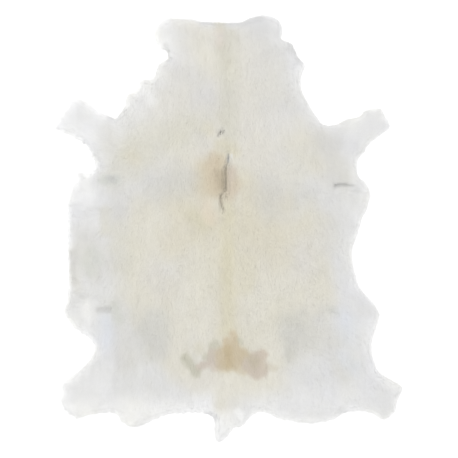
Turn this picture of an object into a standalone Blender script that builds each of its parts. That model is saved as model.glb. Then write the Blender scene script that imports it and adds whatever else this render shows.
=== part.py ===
"""A hair-on reindeer hide, laid flat with its hair side up.

The neck points to +Y, the tail to -Y, and the hide lies on z = 0 with the middle of its length
and width over the origin. It is one solid, the tanned skin together with its short coat: a
lumpy slab that thins towards the belly edges and legs, with locks of hair round its rim.
The tables and sizes are in millimetres, and the mesh is in metres.
"""

import math
import random
from collections import namedtuple

import bmesh
import bpy
from mathutils import Vector, noise
from mathutils.geometry import delaunay_2d_cdt, interpolate_bezier
from mathutils.kdtree import KDTree

MM = 0.001

# Driving sizes
LENGTH = 1250.0  # from the neck edge to the tip of the tail
WIDTH = 1017.0  # from the left foreleg to the right hind leg
EDGE_THICKNESS = 2.0  # the skin and the few hairs at its very edge
BELLY_THICKNESS = 6.5  # the skin and coat near the belly edges and on the legs
BACK_THICKNESS = 11.5  # the skin and coat along the back
BACK_REACH = 150.0  # how far in from the edge the coat is as thick as on the back
ROLL = 15.0  # how far in from the edge the coat has rounded over

# Unevenness of the coat
LUMP_HEIGHT = 1.1
LUMP_WIDTH = 55.0
LUMP_LENGTH = 95.0
SEED = 11

# Spacing of the points that the surface is made from
EDGE_STEP = 6.5
RIM_DEPTHS = (3.5, 9.0)  # rows of points that follow the edge, inside it
RIM_GAP = 10.0
RIM_CLEAR = 0.93  # a row's point is dropped where another part of the edge is nearer than this
GRID_STEP = 21.0
FLAT_STEP = 60.0  # on the flat underside
LINE_STEP = 9.0  # along a narrow fold or parting
WIDE_LINE_STEP = 0.8  # along a wide one, as a share of its width
LINE_GAP = 4.0  # the least between two points of the folds and partings
CLEAR_OF_LINES = 8.0  # the least between them and a point of the grid
MERGE = 0.00001
SHARP_ANGLE = 50.0

# The locks of hair at the rim
LOCK_POINTS = (3, 4, 6)  # points of the edge from one lock's tip to the next
LOCK_LEAST = 0.4  # the shortest lock, as a share of its stretch's length
LOCK_SWEEP = 0.6  # how far a lock leans towards the tail, as a share of its length

Stretch = namedtuple("Stretch", "name lock points")
Fold = namedtuple("Fold", "name outer inner left right height")
Parting = namedtuple("Parting", "name path half_width depth")

ROUND, CORNER = "round", "corner"

# The outline, clockwise from the neck as seen from above. Each stretch has its name, the length
# of the locks on its rim, and its landmarks: x, y and how the edge turns there.
OUTLINE = (
    Stretch("neck edge", 2.5, (
        (-208, 586, ROUND), (-193, 606, ROUND), (-174, 616, ROUND), (-114, 615, ROUND),
        (-70, 605, ROUND), (32, 605, ROUND), (56, 615, ROUND), (94, 625, ROUND),
        (129, 621, ROUND), (152, 600, ROUND),
    )),
    Stretch("right side of the neck", 2.5, (
        (149, 558, CORNER), (184, 540, ROUND), (198, 506, ROUND), (221, 482, CORNER),
        (209, 455, ROUND), (209, 413, ROUND), (223, 383, ROUND), (249, 336, ROUND),
        (276, 306, ROUND), (314, 305, ROUND), (339, 318, ROUND), (384, 331, ROUND),
    )),
    Stretch("right foreleg", 2.5, (
        (398, 346, ROUND), (443, 351, CORNER), (468, 297, CORNER), (431, 271, ROUND),
        (396, 237, ROUND), (395, 226, ROUND), (374, 205, ROUND),
    )),
    Stretch("right flank", 2.5, (
        (374, 154, ROUND), (395, 137, ROUND), (406, 108, ROUND), (402, 60, ROUND),
        (387, 32, ROUND), (373, -15, ROUND), (358, -61, ROUND), (358, -99, ROUND),
        (368, -142, ROUND), (378, -172, ROUND), (421, -223, ROUND), (440, -254, CORNER),
        (421, -302, ROUND), (413, -352, ROUND), (426, -408, ROUND), (441, -428, ROUND),
    )),
    Stretch("right hind leg", 3.0, (
        (466, -443, ROUND), (508, -467, CORNER), (486, -506, ROUND), (483, -535, ROUND),
        (455, -563, CORNER), (407, -538, ROUND),
    )),
    Stretch("right of the rump", 4.0, (
        (346, -538, ROUND), (301, -562, ROUND), (234, -568, ROUND), (183, -564, ROUND),
        (131, -550, ROUND), (117, -540, ROUND), (86, -539, ROUND), (63, -550, ROUND),
    )),
    Stretch("tail", 6.0, (
        (34, -581, ROUND), (10, -586, ROUND), (-16, -618, ROUND), (-29, -625, CORNER),
        (-35, -619, ROUND), (-37, -562, CORNER),
    )),
    Stretch("left of the rump", 6.0, (
        (-75, -538, ROUND), (-171, -543, ROUND), (-211, -554, ROUND), (-272, -579, ROUND),
        (-300, -571, ROUND), (-334, -540, ROUND), (-368, -538, ROUND), (-412, -546, ROUND),
    )),
    Stretch("left hind leg", 6.0, (
        (-443, -555, CORNER), (-463, -541, ROUND), (-485, -512, ROUND), (-478, -487, ROUND),
        (-485, -462, CORNER), (-435, -419, ROUND), (-401, -383, ROUND), (-389, -346, ROUND),
    )),
    Stretch("left flank", 4.5, (
        (-404, -321, ROUND), (-452, -285, ROUND), (-481, -242, CORNER), (-467, -212, ROUND),
        (-467, -4, ROUND), (-466, 72, ROUND), (-457, 114, ROUND), (-439, 147, ROUND),
        (-441, 166, CORNER),
    )),
    Stretch("left foreleg", 6.0, (
        (-412, 156, ROUND), (-385, 187, ROUND), (-396, 215, ROUND), (-415, 250, ROUND),
        (-474, 283, ROUND), (-507, 297, CORNER), (-457, 376, CORNER), (-435, 377, ROUND),
        (-390, 344, ROUND), (-331, 321, CORNER),
    )),
    Stretch("left side of the neck", 7.0, (
        (-302, 358, ROUND), (-295, 392, ROUND), (-272, 400, ROUND), (-249, 439, ROUND),
        (-229, 433, ROUND), (-210, 458, ROUND), (-202, 484, ROUND), (-178, 499, ROUND),
        (-178, 521, ROUND), (-209, 555, ROUND),
    )),
)

# Where the skin itself rises off the floor. Each fold has its name, the ends of its crest at the
# edge and inside, its widths to the left and right of the crest, looking in, and its height.
FOLDS = (
    Fold("right crease", (398, 108), (292, 121), 34, 9, 9.0),
    Fold("right thigh wave", (428, -300), (330, -286), 44, 40, 5.0),
    Fold("right hind leg curl", (494, -505), (400, -462), 38, 38, 4.5),
    Fold("right rump wave", (238, -570), (226, -475), 52, 46, 4.0),
    Fold("left rump wave", (-274, -580), (-252, -480), 48, 50, 5.0),
    Fold("left hind leg curl", (-486, -490), (-396, -452), 34, 34, 4.0),
    Fold("left flank wave, lower", (-475, -196), (-352, -166), 40, 48, 7.5),
    Fold("left flank wave, upper", (-468, 78), (-350, 58), 44, 40, 7.5),
    Fold("left foreleg curl", (-486, 336), (-400, 286), 36, 36, 4.5),
    Fold("left cheek curl", (-205, 588), (-136, 548), 34, 34, 4.0),
)

# Where the hair parts: the name, the path of the parting, and its half width and depth.
PARTINGS = (
    Parting("withers", ((-1, 224), (-3, 192), (-9, 180), (-9, 112), (-22, 92), (-19, 58)), 7.0, 6.0),
    Parting("spine", ((-4, 540), (4, 260), (0, 224), (-9, 112), (4, 40), (4, -300)), 24.0, 1.4),
)


def landmark_rows():
    """Every landmark in order as its point, its turn and its stretch's lock length."""
    return [
        (Vector((x, y)), turn, stretch.lock)
        for stretch in OUTLINE
        for x, y, turn in stretch.points
    ]


def handle(point, turn, before, after, towards):
    """A Bezier handle: along the edge at a round landmark, at its neighbour at a corner."""
    reach = (towards - point).length / 3.0
    if turn == CORNER:
        return point + (towards - point).normalized() * reach
    along = (after - before).normalized()
    return point + along * (reach if towards == after else -reach)


def edge_curve():
    """The smooth edge as (point, lock length) rows, about EDGE_STEP apart."""
    rows = landmark_rows()
    count = len(rows)
    curve = []
    for i, (start, start_turn, lock) in enumerate(rows):
        before = rows[i - 1][0]
        end, end_turn, _ = rows[(i + 1) % count]
        after = rows[(i + 2) % count][0]
        steps = max(1, round((end - start).length / EDGE_STEP))
        leave = handle(start, start_turn, before, end, end)
        arrive = handle(end, end_turn, start, after, start)
        points = interpolate_bezier(start, leave, arrive, end, steps + 1)
        curve += [(point.copy(), lock) for point in points[:-1]]
    return curve


def outward(curve, i):
    """The direction out of the hide at a point of the clockwise curve."""
    along = curve[(i + 1) % len(curve)][0] - curve[i - 1][0]
    return Vector((-along.y, along.x)).normalized()


def add_locks(curve, rng):
    """The curve with a point every so often drawn out into the tip of a lock of hair."""
    tailwards = Vector((0.0, -1.0))
    edge = [point.copy() for point, _ in curve]
    tip = 1
    while tip < len(curve) - 1:
        length = curve[tip][1] * rng.uniform(LOCK_LEAST, 1.0)
        edge[tip] += (outward(curve, tip) + tailwards * LOCK_SWEEP) * length
        tip += rng.choice(LOCK_POINTS)
    return edge


def tree_of(points):
    """A search tree over flat points."""
    tree = KDTree(len(points))
    for i, point in enumerate(points):
        tree.insert((point.x, point.y, 0.0), i)
    tree.balance()
    return tree


def gap_to(tree, point):
    """How far a flat point is from the nearest point of a tree."""
    return tree.find((point.x, point.y, 0.0))[2]


def is_inside(point, loop):
    """Whether a point lies within a closed loop, by counting the edges to its right."""
    inside = False
    previous = loop[-1]
    for corner in loop:
        if (corner.y > point.y) != (previous.y > point.y):
            share = (point.y - corner.y) / (previous.y - corner.y)
            if point.x < corner.x + share * (previous.x - corner.x):
                inside = not inside
        previous = corner
    return inside


def ease(value):
    """A smooth step from 0 to 1."""
    value = min(max(value, 0.0), 1.0)
    return value * value * (3.0 - 2.0 * value)


def fold_lift(point):
    """How far the folds raise the skin off the floor at a point."""
    lift = 0.0
    for fold in FOLDS:
        outer = Vector(fold.outer)
        crest = Vector(fold.inner) - outer
        inwards = crest.normalized()
        offset = point - outer
        along = offset.dot(inwards) / crest.length
        across = inwards.x * offset.y - inwards.y * offset.x
        share = abs(across) / (fold.left if across > 0.0 else fold.right)
        if share < 1.0 and along < 1.0:
            lift += fold.height * ease(1.0 - along) * math.cos(share * math.pi / 2.0) ** 2
    return lift


def distance_to_path(point, path):
    """The distance from a point to a path of straight pieces."""
    nearest = math.inf
    for start, end in zip(path, path[1:]):
        start, piece = Vector(start), Vector(end) - Vector(start)
        share = (point - start).dot(piece) / piece.length_squared
        foot = start + piece * min(max(share, 0.0), 1.0)
        nearest = min(nearest, (point - foot).length)
    return nearest


def parting_depth(point):
    """How deep the partings cut into the coat at a point."""
    depth = 0.0
    for parting in PARTINGS:
        share = distance_to_path(point, parting.path) / parting.half_width
        depth = max(depth, parting.depth * (1.0 - ease(share)))
    return depth


def thickness(point, edge_gap):
    """The skin and coat together, from their depth inside the edge."""
    belly_to_back = ease(edge_gap / BACK_REACH)
    full = BELLY_THICKNESS + (BACK_THICKNESS - BELLY_THICKNESS) * belly_to_back
    lump = noise.noise(Vector((point.x / LUMP_WIDTH, point.y / LUMP_LENGTH, 0.0)))
    full += LUMP_HEIGHT * lump - parting_depth(point)
    inset = min(edge_gap / ROLL, 1.0)
    rounding = math.sqrt(1.0 - (1.0 - inset) ** 2)
    return EDGE_THICKNESS + (full - EDGE_THICKNESS) * rounding


def rim_rows(curve, edge_tree):
    """Rows of points inside the edge, which give the coat its rounded rim."""
    rows = []
    for depth in RIM_DEPTHS:
        last = None
        for i, (point, _) in enumerate(curve):
            inset = point - outward(curve, i) * depth
            clear = gap_to(edge_tree, inset) > RIM_CLEAR * depth
            if clear and (last is None or (inset - last).length > RIM_GAP):
                rows.append(inset)
                last = inset
    return rows


def line_rows(path, offsets):
    """Points along a path and along the lines beside it."""
    rows = []
    for start, end in zip(path, path[1:]):
        start, end = Vector(start), Vector(end)
        piece = end - start
        side = Vector((-piece.y, piece.x)).normalized()
        steps = max(1, round(piece.length / max(LINE_STEP, offsets[-1] * WIDE_LINE_STEP)))
        rows += [
            start + piece * (step / steps) + side * offset
            for step in range(steps)
            for offset in offsets
        ]
    return rows


def feature_points():
    """The points that the folds and partings need to keep their shape."""
    points = []
    for parting in PARTINGS:
        half = parting.half_width
        points += line_rows(parting.path, (-half, 0.0, half))
    for fold in FOLDS:
        points += line_rows((fold.outer, fold.inner), (-fold.right, 0.0, fold.left))
    kept = []
    for point in points:
        if all((point - other).length > LINE_GAP for other in kept):
            kept.append(point)
    return kept


def honeycomb(step):
    """Points on a triangular grid over the whole hide."""
    row_step = step * math.sqrt(3.0) / 2.0
    rows = int(LENGTH / 2.0 / row_step) + 1
    columns = int(WIDTH / 2.0 / step) + 1
    return [
        Vector(((column + (row % 2) / 2.0) * step, row * row_step))
        for row in range(-rows, rows + 1)
        for column in range(-columns, columns + 1)
    ]


def inner_points(curve, edge_tree):
    """Every point of the coat's surface that isn't on its edge."""
    loop = [point for point, _ in curve]
    rim = rim_rows(curve, edge_tree)
    lines = [
        point for point in feature_points()
        if is_inside(point, loop) and gap_to(edge_tree, point) > RIM_DEPTHS[-1] + LINE_GAP
    ]
    line_tree = tree_of(lines)
    grid = [
        point for point in honeycomb(GRID_STEP)
        if is_inside(point, loop) and gap_to(edge_tree, point) > ROLL
        and gap_to(line_tree, point) > CLEAR_OF_LINES
    ]
    return rim + lines + grid


def near_a_fold(point):
    """Whether the skin rises at a point or a grid step away from it."""
    sides = ((0, 0), (1, 0), (-1, 0), (0, 1), (0, -1))
    return any(fold_lift(point + Vector(side) * GRID_STEP) > 0.0 for side in sides)


def under_points(curve, edge_tree, inner):
    """The underside's points: the coat's own under the folds, and a sparse grid elsewhere."""
    loop = [point for point, _ in curve]
    folded = [point for point in inner if near_a_fold(point)]
    folded_tree = tree_of(folded)
    return folded + [
        point for point in honeycomb(FLAT_STEP)
        if is_inside(point, loop) and gap_to(edge_tree, point) > FLAT_STEP / 2.0
        and gap_to(folded_tree, point) > GRID_STEP
    ]


def raised(points, height):
    """Flat points lifted to their height."""
    return [Vector((point.x, point.y, height(point))) for point in points]


def add_sheet(mesh, edge, inner):
    """A triangulated sheet within its edge, and its vertices along the edge."""
    points = edge + inner
    rim = [(i, (i + 1) % len(edge)) for i in range(len(edge))]
    flat = [point.to_2d() for point in points]
    _, _, faces, _, _, _ = delaunay_2d_cdt(flat, rim, [], 1, MERGE)
    verts = [mesh.verts.new(point) for point in points]
    for face in faces:
        mesh.faces.new([verts[i] for i in face])
    return verts[:len(edge)]


def close_rim(mesh, upper, lower):
    """The narrow band that joins the coat to the underside all round the edge."""
    count = len(upper)
    for i in range(count):
        j = (i + 1) % count
        mesh.faces.new((upper[i], upper[j], lower[j], lower[i]))


def fit_to_size(mesh):
    """Centre the hide over the origin at its full length and width, in metres."""
    xs = [vert.co.x for vert in mesh.verts]
    ys = [vert.co.y for vert in mesh.verts]
    stretch_x = WIDTH / (max(xs) - min(xs))
    stretch_y = LENGTH / (max(ys) - min(ys))
    middle_x = (max(xs) + min(xs)) / 2.0
    middle_y = (max(ys) + min(ys)) / 2.0
    for vert in mesh.verts:
        x, y, z = vert.co
        vert.co = ((x - middle_x) * stretch_x * MM, (y - middle_y) * stretch_y * MM, z * MM)


def hide_material():
    """Pale cream hair."""
    material = bpy.data.materials.new("pale_hair")
    material.use_nodes = True
    surface = material.node_tree.nodes["Principled BSDF"]
    surface.inputs["Base Color"].default_value = (0.76, 0.74, 0.68, 1.0)
    surface.inputs["Roughness"].default_value = 0.85
    surface.inputs["Metallic"].default_value = 0.0
    return material


def build_hide(collection):
    """The hide: a dense coat above, a sparse underside, and the rim between them."""
    curve = edge_curve()
    edge = add_locks(curve, random.Random(SEED))
    edge_tree = tree_of([point for point, _ in curve])
    inner = inner_points(curve, edge_tree)
    under = under_points(curve, edge_tree, inner)

    mesh = bmesh.new()
    upper = add_sheet(
        mesh,
        raised(edge, lambda p: fold_lift(p) + EDGE_THICKNESS),
        raised(inner, lambda p: fold_lift(p) + thickness(p, gap_to(edge_tree, p))),
    )
    lower = add_sheet(mesh, raised(edge, fold_lift), raised(under, fold_lift))
    close_rim(mesh, upper, lower)
    bmesh.ops.recalc_face_normals(mesh, faces=mesh.faces)
    bmesh.ops.triangulate(mesh, faces=mesh.faces)
    fit_to_size(mesh)

    data = bpy.data.meshes.new("hide")
    mesh.to_mesh(data)
    mesh.free()
    data.materials.append(hide_material())
    data.shade_smooth()
    data.set_sharp_from_angle(angle=math.radians(SHARP_ANGLE))
    collection.objects.link(bpy.data.objects.new("hide", data))


def main():
    for old in list(bpy.data.objects):
        bpy.data.objects.remove(old)
    collection = bpy.data.collections.new("reindeer_hide")
    bpy.context.scene.collection.children.link(collection)
    build_hide(collection)


main()
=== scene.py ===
"""The looks of a hair-on reindeer hide that lies flat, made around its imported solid.

The solid gives the outline, the folds and the lie of the coat. Here it becomes a tanned skin, a
mat of under-fur on it, and the coat itself, hair by hair. Distances in the tables are in
millimetres from the middle of the hide, with x to its right and y towards the neck; everything
else is in metres.
"""

import math

import bpy
import numpy as np
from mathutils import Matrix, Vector
from mathutils.bvhtree import BVHTree
from mathutils.geometry import delaunay_2d_cdt
from mathutils.kdtree import KDTree


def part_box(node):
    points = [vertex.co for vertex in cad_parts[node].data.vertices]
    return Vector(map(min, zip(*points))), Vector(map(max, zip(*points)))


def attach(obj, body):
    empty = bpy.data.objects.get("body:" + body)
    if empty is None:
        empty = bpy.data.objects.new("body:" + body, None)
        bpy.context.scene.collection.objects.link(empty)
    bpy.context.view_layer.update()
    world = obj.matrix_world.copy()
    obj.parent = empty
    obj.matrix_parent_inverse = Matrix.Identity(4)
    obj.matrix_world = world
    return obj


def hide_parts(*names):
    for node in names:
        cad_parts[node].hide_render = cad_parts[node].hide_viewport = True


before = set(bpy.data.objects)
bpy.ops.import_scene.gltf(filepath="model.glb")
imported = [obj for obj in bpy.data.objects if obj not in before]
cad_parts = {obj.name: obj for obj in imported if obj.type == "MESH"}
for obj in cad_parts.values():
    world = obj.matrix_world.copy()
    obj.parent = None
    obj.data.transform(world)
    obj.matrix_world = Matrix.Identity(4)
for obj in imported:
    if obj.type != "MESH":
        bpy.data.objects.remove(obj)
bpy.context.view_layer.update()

MM = 0.001

# Maps of the solid's surface
MAP_PITCH = 0.003
MAP_MARGIN = 0.036
RIM_STEP = 0.0015  # between the points of the rim that depths are measured from
LOOKS_DOWN = -0.3  # the underside's normals have a z below this

# Skin and under-fur
SKIN_THICKNESS = 0.0016
SKIN_STEP = 0.010
SKIN_INSET = 0.0030  # from the tips of the locks at the rim to the cut edge of the skin
SKIN_LIFT = 0.0002
FUR_STEP = 0.0050
FUR_INSET = 0.0045
FUR_FOOT = FUR_INSET * 0.6  # how deep inside the rim the under-fur starts to rise
FUR_RISE = 0.012  # and how much deeper it is at its full height
FUR_SHARE = 0.76  # that height as a share of the coat's
FUR_LUMPS = ((0.0006, 0.007, 0.011, 21), (0.0005, 0.016, 0.024, 22))  # height, sizes, seed
LEAST = 0.0003  # the least height, thickness or depth of anything

# Hairs: each is two triangles that meet across it, so it bends where it is widest
HAIR_STEP = 0.00158  # between roots
HAIR_INSET = SKIN_INSET * 0.6  # from the rim to the first roots
HAIR_BACK = 0.024  # the length of the hair on the back
HAIR_RIM = 0.010  # and at the rim and on the legs
HAIR_BACK_DEPTH = 0.09  # how deep inside the rim the back starts
HAIR_SPAN = (0.7, 1.15)  # the shortest and the longest, as shares of these
HAIR_WIDTH = 0.00113
HALF_WIDTHS = (0.35, 0.65)  # of the thinnest and the widest hair, as shares of it
HAIR_BEND = 0.45  # how far along a hair its bend is
HAIR_ROLL = 0.45  # how far it may roll, in radians
HAIR_STRAY = 0.13  # how far its direction strays, in radians
ROOT_SHARE = 0.66  # the heights of its root, its bend and its tip, as shares of the coat's
BEND_SHARE = 1.01
TIP_SHARE = 0.96
UNEVEN = 0.0007  # how far below that its bend may be
UNEVEN_TIP = 1.3  # and how many times as far its tip
UNEVEN_MOST = 0.25  # the most that a bend loses so, as a share
OVER_FUR = 0.0014  # how far over the under-fur a hair stays, times its share
LEVEL_WITH_FUR = 0.45  # less this
STUB = 0.12  # the least that a furrow leaves of a hair, as a share of its length
STUB_AT_RIM = 0.25  # and that the rim leaves
DROOP = 0.7  # how far a tip droops past the rim, as a share of the way
DROOP_REACH = 0.006  # how far past it that is
DROOP_END = 0.0006  # the height it droops towards
CLUMP = 0.009  # the size of the locks that hairs gather into
CLUMP_PULL = 0.12
CLUMP_COUNT = 97  # locks along each side of their pattern, which then repeats
SOFTNESS = 0.85  # how far the strands shade as one soft surface and not as single blades
TINY = 1e-12  # so that nothing is divided by nothing

# The rim
FRINGE_STEP = 0.00125  # between the short hairs that hide the cut edge of the skin
FRINGE_DEPTH = 0.0045
FRINGE_LENGTH = 0.0052
RIM_SPREAD = 0.35  # how far the coat turns outwards at the rim
RIM_SPREAD_FLUFFY = 0.5  # and how much further where the edge is fluffiest
RIM_SPREAD_REACH = 0.009
OVERHANG = 0.0016  # how far past the edge the hair may reach where the edge isn't fluffy

LIGHT_SENT_UP = 1.14  # how bright the coat is from above under the lights, per unit of colour
CAMERA_LENS = 85.0
CAMERA_SENSOR = 36.0
VIEW_WIDTH = 1.342  # across the photograph's frame, on the floor


# ---- soft random waves

def ease(value):
    """A smooth step from 0 to 1."""
    value = np.clip(value, 0.0, 1.0)
    return value * value * (3.0 - 2.0 * value)


def waves(x, y, size_x, size_y, seed):
    """Soft random waves from -1 to 1, about as long as the two sizes."""
    cells = 64
    table = np.random.default_rng(seed).uniform(-1.0, 1.0, (cells, cells))
    u, v = x / size_x, y / size_y
    i, j = np.floor(u).astype(int), np.floor(v).astype(int)
    s, t = ease(u - i), ease(v - j)
    i, j, k, m = i % cells, j % cells, (i + 1) % cells, (j + 1) % cells
    low = table[i, j] * (1.0 - s) + table[k, j] * s
    high = table[i, m] * (1.0 - s) + table[k, m] * s
    return low * (1.0 - t) + high * t


# ---- the solid, read as maps

def rim_loop(solid):
    """The solid's lower edge, in order round the hide: the border of the faces that look down."""
    mesh = solid.data
    points = {}  # each place of a vertex, once
    spot = [points.setdefault(tuple(round(c, 5) for c in v.co), len(points)) for v in mesh.vertices]
    uses = {}
    for face in mesh.polygons:
        if face.normal.z < LOOKS_DOWN:
            corners = [spot[i] for i in face.vertices]
            for a, b in zip(corners, corners[1:] + corners[:1]):
                pair = (min(a, b), max(a, b))
                uses[pair] = uses.get(pair, 0) + 1
    beside = {}
    for (a, b), count in uses.items():
        if count == 1:
            beside.setdefault(a, []).append(b)
            beside.setdefault(b, []).append(a)
    place = list(points)
    start = next(iter(beside))
    loop, last, here = [start], None, start
    while True:
        onward = [n for n in beside[here] if n != last]
        if onward[0] == start or (len(loop) > 2 and start in onward):
            break
        loop.append(onward[0])
        last, here = here, onward[0]
    ring = np.array([place[i][:2] for i in loop])
    x, y = ring.T
    clockwise = np.sum(x * np.roll(y, -1) - np.roll(x, -1) * y) < 0.0
    return ring if clockwise else ring[::-1]


def edge_tree(ring):
    """A search tree over a loop's points, a millimetre or two apart."""
    ends = np.roll(ring, -1, axis=0)
    rows = []
    for start, end in zip(ring, ends):
        steps = max(1, int(np.linalg.norm(end - start) / RIM_STEP))
        rows += [start + (end - start) * k / steps for k in range(steps)]
    tree = KDTree(len(rows))
    for i, row in enumerate(rows):
        tree.insert((row[0], row[1], 0.0), i)
    tree.balance()
    return tree


class Maps:
    """The heights of the solid's two sides, and the depth inside its edge, on one square grid."""

    def __init__(self, solid):
        low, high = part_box("hide")
        self.x0 = low[0] - MAP_MARGIN
        self.y0 = low[1] - MAP_MARGIN
        self.xs = np.arange(self.x0, high[0] + MAP_MARGIN, MAP_PITCH)
        self.ys = np.arange(self.y0, high[1] + MAP_MARGIN, MAP_PITCH)
        tree = BVHTree.FromPolygons(
            [v.co.copy() for v in solid.data.vertices],
            [tuple(face.vertices) for face in solid.data.polygons],
        )
        self.coat = self.cast(tree, 1.0)
        self.skin = self.cast(tree, -1.0)
        inside = ~np.isnan(self.coat)
        self.ring = rim_loop(solid)
        self.depth = self.measure_depth(inside)
        self.coat = self.filled(self.coat)
        self.skin = self.filled(self.skin)
        self.thick = self.softened(self.coat - self.skin)
        self.rise_x, self.rise_y = np.gradient(self.softened(self.coat), MAP_PITCH)
        self.inwards_x, self.inwards_y = np.gradient(self.softened(self.depth), MAP_PITCH)
        x, y = (flat.ravel() / MM for flat in np.meshgrid(self.xs, self.ys, indexing="ij"))
        self.tint = painted(x, y, self.depth.ravel() / MM).reshape(*self.depth.shape, 3)

    def cast(self, tree, side):
        """The height of the solid's upper (1) or lower (-1) side under each point of the grid."""
        heights = np.full((len(self.xs), len(self.ys)), np.nan)
        down = Vector((0.0, 0.0, -side))
        for i, x in enumerate(self.xs):
            for j, y in enumerate(self.ys):
                hit = tree.ray_cast(Vector((x, y, side)), down)[0]
                if hit is not None:
                    heights[i, j] = hit.z
        return heights

    def measure_depth(self, inside):
        """The distance to the edge: positive on the hide, negative off it."""
        tree = edge_tree(self.ring)
        depth = np.array([[tree.find((x, y, 0.0))[2] for y in self.ys] for x in self.xs])
        return np.where(inside, depth, -depth)

    def filled(self, heights):
        """The heights carried on past the edge, a step at a time."""
        heights = heights.copy()
        for _ in range(int(MAP_MARGIN / MAP_PITCH)):
            near = np.stack([np.roll(heights, s, a) for s in (1, -1) for a in (0, 1)])
            known = ~np.isnan(near)
            mean = np.where(known, near, 0.0).sum(0) / np.maximum(known.sum(0), 1)
            heights = np.where(np.isnan(heights) & known.any(0), mean, heights)
        return np.nan_to_num(heights)

    def softened(self, heights):
        """The heights without the solid's facets."""
        for _ in range(2):
            near = [np.roll(heights, s, a) for s in (1, -1) for a in (0, 1)]
            heights = heights * 0.5 + sum(near) * 0.125
        return heights

    def read(self, heights, x, y):
        """A map's value at any points, between its grid's points."""
        u = np.clip((x - self.x0) / MAP_PITCH, 0, len(self.xs) - 1.001)
        v = np.clip((y - self.y0) / MAP_PITCH, 0, len(self.ys) - 1.001)
        i, j = u.astype(int), v.astype(int)
        s, t = u - i, v - j
        low = heights[i, j] * (1 - s) + heights[i + 1, j] * s
        high = heights[i, j + 1] * (1 - s) + heights[i + 1, j + 1] * s
        return low * (1 - t) + high * t

    def outwards(self, x, y):
        """The way to the nearest stretch of edge."""
        return -self.read(self.inwards_x, x, y), -self.read(self.inwards_y, x, y)


# ---- the fluffy edge

# Where the edge is fluffy: its name, its middle, how far that reaches, and how much further than
# elsewhere the hair stands out there.
FLUFF = (
    ("left cheek", -202, 577, 60, 8.0),
    ("end of neck, left", -60, 618, 100, 3.5),
    ("end of neck, right", 92, 628, 50, 2.5),
    ("right cheek", 196, 528, 34, 3.0),
    ("left edge of neck", -236, 420, 100, 4.0),
    ("right cheek, lower", 211, 477, 34, 4.0),
    ("left foreleg", -451, 325, 110, 8.0),
    ("left armpit", -393, 178, 42, 5.0),
    ("left flank's corner", -437, 155, 36, 8.0),
    ("left flank", -465, -40, 190, 2.0),
    ("left stifle", -451, -297, 66, 5.5),
    ("left hind leg", -437, -516, 95, 8.0),
    ("left rump", -255, -575, 100, 7.0),
    ("left of tail", -110, -542, 60, 5.0),
    ("tail", -32, -604, 55, 6.5),
    ("right rump", 179, -560, 105, 5.5),
    ("right hind leg, under", 405, -541, 56, 4.0),
    ("right foreleg, under", 457, 275, 52, 5.0),
)
FLUFFIEST = max(extra for *_, extra in FLUFF) * MM


def fluff(x, y):
    """How much further the hair stands out at points by a fluffy edge."""
    more = np.zeros(len(x))
    for _, at_x, at_y, radius, extra in FLUFF:
        away = np.hypot(x / MM - at_x, y / MM - at_y) / radius
        more = np.maximum(more, extra * MM * (1.0 - ease((away - 0.6) / 0.6)))
    return more


# ---- the coat's markings

# Where the coat parts or folds in: its name, its points (x, y), half its width, and how far down
# into the coat it goes, as a share of the coat's height.
FURROWS = (
    ("slit at withers", ((-1, 219), (-2, 196), (-8, 182), (-8, 113)), 2.2, 0.42),
    ("foot of slit", ((-25, 102), (-24, 78), (-15, 56)), 3.0, 0.4),
    ("arc above withers", ((-33, 275), (-27, 283), (-20, 286), (-13, 287)), 2.4, 0.65),
    ("crease behind right foreleg", ((304, 128), (322, 131), (342, 130)), 3.0, 0.52),
    ("end of that crease", ((342, 130), (366, 127)), 2.6, 0.35),
    ("crease behind left foreleg", ((-360, 148), (-330, 144)), 5.5, 0.24),
    ("crease at left stifle", ((-380, -236), (-346, -234)), 5.0, 0.22),
    ("crease at right stifle", ((292, -235), (318, -246)), 5.0, 0.2),
)
SLIT = FURROWS[0][1]
FURROW_STEP = 2.5
FURROW_SIDES = (-1.8, -1.1, -0.5, 0.0, 0.5, 1.1, 1.8)  # in half widths

# The coat's tones; ash, flint and stone serve only as painted shade
TONES = {
    "snow": (250, 250, 249),
    "white": (241, 241, 240),
    "pale": (231, 231, 231),
    "light": (224, 224, 223),
    "bluish": (220, 223, 228),
    "ivory": (225, 222, 211),
    "oat": (220, 217, 209),
    "cream": (221, 218, 206),
    "warm": (217, 212, 195),
    "straw": (215, 210, 188),
    "olive": (215, 213, 202),
    "dull": (215, 214, 210),
    "rosy": (219, 212, 203),
    "grey": (209, 208, 200),
    "ash": (207, 209, 202),
    "fawn": (211, 202, 179),
    "buff": (206, 194, 171),
    "khaki": (200, 198, 182),
    "mauve": (204, 193, 180),
    "taupe": (195, 186, 167),
    "sand": (205, 198, 181),
    "tan": (203, 190, 165),
    "brown": (194, 178, 147),
    "dark": (186, 174, 152),
    "flint": (184, 183, 175),
    "stone": (202, 202, 200),
    "moss": (210, 207, 194),
    "honey": (224, 213, 193),
}
GROUND = "light"
RIM_TONE = "snow"  # the coat is palest where it thins out at the rim; part of this is painted light that lifts the shade on its downturned hairs
RIM_SHARE = 0.92
RIM_SHARE_FLUFFY = 0.3  # how much more of it there is where the edge is fluffiest
RIM_REACH = 14.0
MOTTLE = 1.8  # how far the tones stray, in steps of colour
STREAKS = 1.2  # and the streaks along the hair
RAGGED = 0.22  # how far a stroke's edge strays, as a share of its half width

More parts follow.
